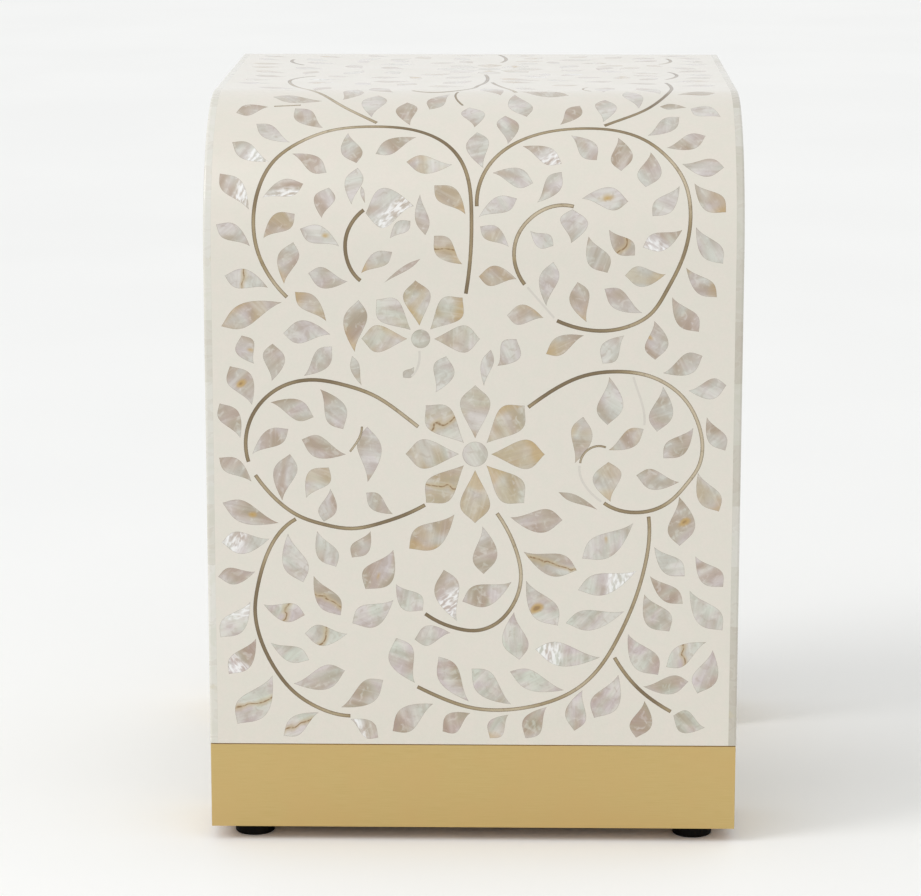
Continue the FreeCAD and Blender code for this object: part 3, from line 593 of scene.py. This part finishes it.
def resin(name):
    tree = Tree(name)
    place = tree.position()
    mottle = tree.span(tree.noise(place, resin_mottle_waves), *middle_span)
    body = tree.mix(mottle, linear(resin_warm), linear(resin_cool))
    grain = tree.span(tree.noise(place, resin_grain_waves), *wide_span)
    colour = tree.mix(tree.math("MULTIPLY", grain, resin_grain_strength), body, linear(resin_dark))
    tree.bump(tree.noise(place, resin_ripple_waves), *resin_bump)
    wear = tree.noise(place, resin_wear_waves, resin_wear_detail)
    rough = tree.span(wear, *wide_span, *resin_rough)
    return tree.finish({"Base Color": colour, "Roughness": rough, **polish})


# Mother-of-pearl

class Shell(Tree):
    """A tree with the coordinates and chances of each inlay, and a colour that is built up."""

    def __init__(self, name, sheet, stops):
        super().__init__(name)
        chance = self.math("MULTIPLY", self.inlay("chance"), chance_spread)
        turn, shift, _ = self.chances(chance)
        middle = self.combine(self.inlay("across"), self.inlay("along"), 0.0)
        inner = self.add("ShaderNodeVectorRotate", [
            ("Vector", self.vector("SUBTRACT", sheet(self), middle)),
            ("Angle", self.math("MULTIPLY", turn, full_turn)),
        ], rotation_type="Z_AXIS").outputs["Vector"]
        moved = self.combine(shift, self.math("MULTIPLY", turn, turn_shift), 0.0)
        self.local = self.vector("ADD", inner, moved)
        self.across, self.along, _ = self.parts(inner)
        self.lift, self.depth, self.side = self.chances(self.math("ADD", chance, second_draw))
        self.low_down = self.span(self.parts(self.position())[2], *low_heights)
        self.wander = self.math("SUBTRACT", self.layer("wander"), half_way)
        self.streaks = self.layer("streaks")
        self.colour = self.ramp(self.paleness(), stops)

    def layer(self, name):
        """Noise with its own count of waves across and along the grain of the shell."""
        across, along, shift, detail = shell_layers[name]
        place = self.vector("MULTIPLY", self.local, (across, along, 1.0))
        place = self.vector("ADD", place, (shift, shift, shift))
        return self.noise(place, 1.0, detail, layer_roughness, layer_distortion)

    def paleness(self):
        """How pale the shell is: by its broad layer, by chance and by its height."""
        by_chance = self.span(self.lift, 0.0, 1.0, *chance_lift)
        paleness = self.math("ADD", self.layer("broad"), by_chance)
        return self.math("ADD", paleness, self.math("MULTIPLY", self.low_down, low_lift))

    def wandering(self, value, reach):
        return self.math("MULTIPLY_ADD", self.wander, reach, value)

    def scaled(self, mask, look, strength):
        return self.math("MULTIPLY", self.math("MULTIPLY", mask, look), strength)

    def tint(self, mask, tone):
        self.colour = self.mix(mask, self.colour, linear(tone))


def add_streaks(tree):
    depth = tree.span(tree.depth, 0.0, 1.0, *streak_depth)
    pale = tree.span(tree.streaks, *streak_pale_span)
    taupe = tree.span(tree.streaks, *streak_taupe_span)
    tree.tint(tree.scaled(pale, depth, streak_strength), pale_shell)
    tree.tint(tree.scaled(taupe, depth, streak_strength), taupe_shell)


def add_mottle(tree):
    mottle = tree.noise(tree.local, mottle_waves, distortion=mottle_distortion)
    tree.tint(tree.span(mottle, *mottle_pale), pale_shell)
    tree.tint(tree.span(mottle, *mottle_taupe), taupe_shell)


def add_hues(tree):
    hue = tree.ramp(tree.layer("hue"), hue_stops)
    strength = tree.span(tree.low_down, 0.0, 1.0, *low_hue)
    tree.colour = tree.mix(strength, tree.colour, hue, "MULTIPLY")


def add_gold(tree):
    gold = tree.inlay("gold")
    patch = tree.span(tree.layer("gold"), *gold_span)
    end = tree.span(tree.wandering(tree.along, spot_wander), *gold_end_reach)
    tree.tint(tree.scaled(patch, gold, gold_strength), gold_shell)
    tree.tint(tree.scaled(end, gold, gold_end_strength), amber_shell)


def add_fine_lines(tree):
    fine = tree.layer("fine")
    tree.tint(tree.span(fine, *fine_taupe), taupe_shell)
    tree.tint(tree.span(fine, *fine_pale), pale_shell)


def add_veins(tree):
    veins = tree.inlay("veins")
    away = tree.math("ABSOLUTE", tree.wandering(tree.across, vein_wander))
    breaks = tree.span(tree.noise(tree.local, vein_break_waves, vein_break_detail), *vein_break)
    line = tree.math("MULTIPLY", tree.span(away, *vein_line_reach), breaks)
    halo = tree.span(away, *vein_halo_reach)
    tree.tint(tree.scaled(halo, veins, vein_halo_strength), gold_shell)
    tree.tint(tree.scaled(line, veins, vein_line_strength), brown_shell)


def add_spots(tree):
    spots = tree.inlay("spots")
    side = tree.math("SUBTRACT", tree.side, half_way)
    across = tree.math("MULTIPLY", tree.across, spot_stretch)
    along = tree.math("MULTIPLY_ADD", side, spot_shift, tree.along)
    away = tree.wandering(tree.length(tree.combine(across, along, 0.0)), spot_wander)
    glow = tree.span(away, *spot_glow_reach)
    core = tree.span(away, *spot_core_reach)
    tree.tint(tree.scaled(glow, spots, spot_glow_strength), amber_shell)
    tree.tint(tree.scaled(core, spots, spot_core_strength), brown_shell)


# Glints: a painted highlight of white crinkled patches on one half of the chosen inlays
def add_painted_glint(tree):
    crinkle = tree.span(tree.layer("crinkle"), *painted_glint_crinkle)
    half = tree.span(tree.wandering(tree.across, vein_wander), *painted_glint_reach)
    shine = tree.math("MULTIPLY", half, crinkle)
    tree.tint(tree.scaled(shine, tree.inlay("glint"), painted_glint_strength), painted_glint_tone)


def add_rim(tree):
    rim = tree.math("MULTIPLY", edge_mask(tree, shell_rim_width), off_seams(tree))
    tree.tint(tree.math("MULTIPLY", rim, shell_rim_strength), rim_shell)


def shell(name, sheet, stops):
    tree = Shell(name, sheet, stops)
    add_streaks(tree)
    add_mottle(tree)
    add_hues(tree)
    add_gold(tree)
    add_fine_lines(tree)
    add_veins(tree)
    add_spots(tree)
    add_painted_glint(tree)
    add_rim(tree)
    tree.bump(tree.streaks, *shell_bump)
    rough = tree.span(tree.streaks, *wide_span, *shell_rough)
    return tree.finish({"Base Color": tree.colour, "Roughness": rough, **polish})


# Brass

def vine_brass(name):
    tree = Tree(name)
    place = tree.position()
    middle = tree.ramp(tree.noise(place, vine_run_waves), vine_stops)
    fleck = tree.span(tree.noise(place, vine_fleck_waves), *vine_fleck_span)
    fleck = tree.math("MULTIPLY", fleck, vine_fleck_strength)
    middle = tree.mix(fleck, middle, linear(vine_fleck_tone))
    edge = edge_mask(tree, vine_rim_width, vine_edge_flat, vine_edge_rim)
    rim = tree.math("MULTIPLY", edge, off_seams(tree))
    colour = tree.mix(tree.math("MULTIPLY", rim, vine_rim_strength), middle, linear(vine_rim_tone))
    pale = tree.math("MULTIPLY", tree.inlay("pale"), vine_pale_strength)
    colour = tree.mix(pale, colour, linear(vine_pale_tone))
    rough = tree.span(tree.noise(place, vine_wear_waves), *wide_span, *vine_rough)
    return tree.finish({
        "Base Color": colour, "Roughness": rough, "Metallic": vine_metallic, **polish,
    })


def band_brass(name):
    tree = Tree(name)
    place = tree.position()
    line = tree.waves(place, band_line_waves)
    drift = tree.span(tree.noise(place, band_drift_waves), *middle_span, *band_drift)
    colour = tree.mix(drift, tree.ramp(line, band_stops), linear(band_drift_tone))
    tree.bump(line, *band_bump)
    rough = tree.span(line, *wide_span, *band_rough)
    return tree.finish({
        "Base Color": colour, "Roughness": rough, "Metallic": 1.0, "Anisotropic": band_anisotropic,
    })


# Shell border

def strips_over(tree, value, extent, length):
    """Counts whole strips over a length, as the value goes from 0 to its extent."""
    return tree.math("MULTIPLY", value, round(length / border_length) / extent)


def side_strip_number(tree):
    """Numbers the border strips up the front, over the round edge and along the top, or up the back."""
    x, y, z = tree.parts(tree.position())
    rise = tree.math("SUBTRACT", tree.math("MINIMUM", z, arc_z), leg_z)
    run = tree.math("MAXIMUM", tree.math("SUBTRACT", y, arc_y), 0.0)
    number = strips_over(tree, rise, front_rise, front_rise)
    on_edge = strips_over(tree, edge_turn(tree, y, z), quarter_turn, edge_radius * quarter_turn)
    number = tree.math("ADD", number, on_edge)
    number = tree.math("ADD", number, strips_over(tree, run, top_run, top_run))
    back_number = strips_over(tree, tree.math("SUBTRACT", z, leg_z), back_rise, back_rise)
    behind = tree.math("GREATER_THAN", y, back_y - skin)
    on_back = tree.math("MULTIPLY", behind, tree.math("LESS_THAN", z, back_top))
    change = tree.math("SUBTRACT", back_number, number)
    number = tree.math("ADD", number, tree.math("MULTIPLY", on_back, change))
    side = tree.math("MULTIPLY", tree.math("SIGN", x), side_offset)
    return tree.math("FLOOR", tree.math("ADD", number, side))


def top_strip_number(tree):
    """Numbers the border strips along the back edge of the top."""
    x = tree.parts(tree.position())[0]
    length = edge_high.x - edge_low.x
    number = strips_over(tree, tree.math("SUBTRACT", x, edge_low.x), length, length)
    return tree.math("FLOOR", number)


def border_shell(name, number, stops):
    tree = Tree(name)
    place = tree.position()
    body = tree.ramp(tree.chances(number(tree))[0], stops)
    layers = tree.waves(place, border_layer_waves, distortion=border_distortion)
    colour = tree.mix(1.0, body, tree.ramp(layers, border_hue_stops), "MULTIPLY")
    spot = tree.span(tree.noise(place, border_spot_waves), *border_spot_span)
    spot = tree.math("MULTIPLY", spot, border_spot_strength)
    colour = tree.mix(spot, colour, linear(border_spot_tone))
    rim = tree.math("MULTIPLY", edge_mask(tree, border_rim_width), border_rim_strength)
    colour = tree.mix(rim, colour, linear(border_rim_tone))
    rough = tree.span(layers, *wide_span, *border_rough)
    return tree.finish({"Base Color": colour, "Roughness": rough, **polish})


# Lacquer, wood, steel and rubber

def lacquer(name):
    tree = Tree(name)
    place = tree.position()
    cloud = tree.span(tree.noise(place, lacquer_cloud_waves, lacquer_cloud_detail), *wide_span)
    colour = tree.mix(cloud, linear(lacquer_low_tone), linear(lacquer_high_tone))
    tree.bump(tree.noise(place, lacquer_ripple_waves), *lacquer_bump)
    rough = tree.span(tree.noise(place, lacquer_wear_waves), *wide_span, *lacquer_rough)
    return tree.finish({"Base Color": colour, "Roughness": rough})


def wood(name):
    tree = Tree(name)
    grain = tree.waves(
        tree.position(), wood_grain_waves,
        detail=wood_detail, roughness=wood_roughness, distortion=wood_distortion,
    )
    colour = tree.ramp(grain, wood_stops)
    tree.bump(grain, *wood_bump)
    rough = tree.span(grain, *wide_span, *wood_rough)
    return tree.finish({"Base Color": colour, "Roughness": rough})


def steel(name):
    tree = Tree(name)
    turned = tree.waves(tree.position(), steel_turning_waves)
    colour = tree.ramp(turned, steel_stops)
    rough = tree.span(turned, *wide_span, *steel_rough)
    return tree.finish({"Base Color": colour, "Roughness": rough, "Metallic": 1.0})


def rubber(name):
    tree = Tree(name)
    grain = tree.noise(tree.position(), rubber_waves, rubber_detail)
    colour = tree.ramp(grain, rubber_stops)
    tree.bump(grain, *rubber_bump)
    rough = tree.span(grain, *wide_span, *rubber_rough)
    return tree.finish({
        "Base Color": colour, "Roughness": rough, "Specular IOR Level": rubber_specular,
    })


# Each node's material

ivory = resin("ivory_resin")
front_shell = shell("shell_leaf", wrapped_sheet, leaf_stops)
back_shell = shell("shell_leaf_back", back_sheet, leaf_stops)
side_shell = shell("shell_leaf_side", side_sheet, leaf_stops)
petal_shell = shell("shell_petal", wrapped_sheet, petal_stops)
disc_shell = shell("shell_disc", wrapped_sheet, disc_stops)
vine = vine_brass("vine_brass")
band = band_brass("band_brass")
pale_border = border_shell("shell_border", side_strip_number, pale_border_stops)
painted_shade_border = border_shell("shell_border_painted_shade", side_strip_number, painted_shade_border_stops)
edge_border = border_shell("shell_border_edge", top_strip_number, pale_border_stops)
inner_lacquer = lacquer("ivory_lacquer")
carcass = wood("carcass_wood")
hardware = steel("steel")
pads = rubber("black_pad")


def finish_for(node):
    if node.endswith("_resin_skin"):
        return ivory
    if node.endswith("_leaf_inlays"):
        if node.startswith("back"):
            return back_shell
        return side_shell if "_side_" in node else front_shell
    if node.endswith("_vine_strips"):
        return vine
    if node.endswith("_border_strips"):
        if node.startswith("back"):
            return edge_border
        # The right side's border gets the darker copy, which paints its shade
        return painted_shade_border if node.startswith("right") else pale_border
    if node.endswith("_brass_band"):
        return band
    if node.endswith("_foot_pad"):
        return pads
    if node.endswith(("_foot_stud", "_foot_inserts", "_plinth_screws")):
        return hardware
    if node == "flower_petal_inlays":
        return petal_shell
    if node == "flower_disc_inlays":
        return disc_shell
    if node in ("front_inner_panel", "back_inner_panel", "soffit_panel", "corner_inner_cove"):
        return inner_lacquer
    return carcass


mark_inlays(["front_leaf_inlays", "corner_leaf_inlays", "top_leaf_inlays"], leaf_seed, wrapped_place)
mark_inlays(["back_leaf_inlays"], leaf_seed, back_place)
mark_inlays(["left_side_leaf_inlays", "right_side_leaf_inlays"], leaf_seed, side_place)
mark_inlays(["flower_petal_inlays", "flower_disc_inlays"], petal_seed, wrapped_place)
mark_inlays([name for name in nodes if name.endswith("_vine_strips")], leaf_seed, wrapped_place)

for name, piece in nodes.items():
    piece.data.materials.clear()
    piece.data.materials.append(finish_for(name))


# Floor and backdrop

def floor_material():
    tree = Tree("studio_floor")
    cloud = tree.span(tree.noise(tree.position(), floor_cloud_waves), *wide_span)
    colour = tree.mix(cloud, linear(floor_low_tone), linear(floor_tone))
    return tree.finish({
        "Base Color": colour, "Roughness": floor_rough, "Specular IOR Level": floor_specular,
    })


def add_floor():
    mesh = bpy.data.meshes.new("studio_floor")
    corners = [(-1, -1), (1, -1), (1, 1), (-1, 1)]
    mesh.from_pydata([(floor_half * x, floor_half * y, 0.0) for x, y in corners], [], [(0, 1, 2, 3)])
    mesh.materials.append(floor_material())
    floor = bpy.data.objects.new("studio_floor", mesh)
    bpy.context.scene.collection.objects.link(floor)


def add_world():
    """Even light from all round. The camera, gloss and glass see the backdrop's tone instead."""
    world = bpy.data.worlds.new("studio")
    world.use_nodes = True
    tree = world.node_tree
    light = tree.nodes["Background"]
    light.inputs["Color"].default_value = linear(ambient_tone)
    light.inputs["Strength"].default_value = ambient_strength
    backdrop = tree.nodes.new("ShaderNodeBackground")
    backdrop.inputs["Color"].default_value = linear(backdrop_tone)
    paths = tree.nodes.new("ShaderNodeLightPath")
    shown = paths.outputs["Is Camera Ray"]
    for ray in ("Is Glossy Ray", "Is Transmission Ray"):
        either = tree.nodes.new("ShaderNodeMath")
        either.operation = "MAXIMUM"
        tree.links.new(shown, either.inputs[0])
        tree.links.new(paths.outputs[ray], either.inputs[1])
        shown = either.outputs[0]
    choose = tree.nodes.new("ShaderNodeMixShader")
    tree.links.new(shown, choose.inputs["Fac"])
    tree.links.new(light.outputs[0], choose.inputs[1])
    tree.links.new(backdrop.outputs[0], choose.inputs[2])
    tree.links.new(choose.outputs[0], tree.nodes["World Output"].inputs["Surface"])
    bpy.context.scene.world = world


# Lamps and camera

def add_sun():
    rise = math.radians(sun_elevation)
    level = sun_heading.normalized() * math.cos(rise)
    travel = Vector((level.x, level.y, -math.sin(rise)))
    lamp = bpy.data.lights.new("sun", "SUN")
    lamp.energy = sun_strength
    lamp.angle = math.radians(sun_softness)
    sun = bpy.data.objects.new("sun", lamp)
    sun.rotation_mode = "QUATERNION"
    sun.rotation_quaternion = travel.to_track_quat("-Z", "Y")
    bpy.context.scene.collection.objects.link(sun)


def add_fill():
    lamp = bpy.data.lights.new("fill", "AREA")
    lamp.shape = "DISK"
    lamp.size = fill_size
    lamp.energy = fill_power
    fill = bpy.data.objects.new("fill", lamp)
    fill.location = fill_place
    fill.rotation_mode = "QUATERNION"
    fill.rotation_quaternion = (fill_aim - fill_place).to_track_quat("-Z", "Y")
    bpy.context.scene.collection.objects.link(fill)


def add_camera():
    data = bpy.data.cameras.new("camera")
    data.lens = camera_lens
    data.sensor_width = camera_sensor
    camera = bpy.data.objects.new("camera", data)
    camera.location = camera_place
    camera.rotation_mode = "QUATERNION"
    camera.rotation_quaternion = camera_turn()
    bpy.context.scene.collection.objects.link(camera)
    bpy.context.scene.camera = camera


add_floor()
add_world()
add_sun()
add_fill()
add_camera()
bpy.context.scene.view_settings.view_transform = "Standard"
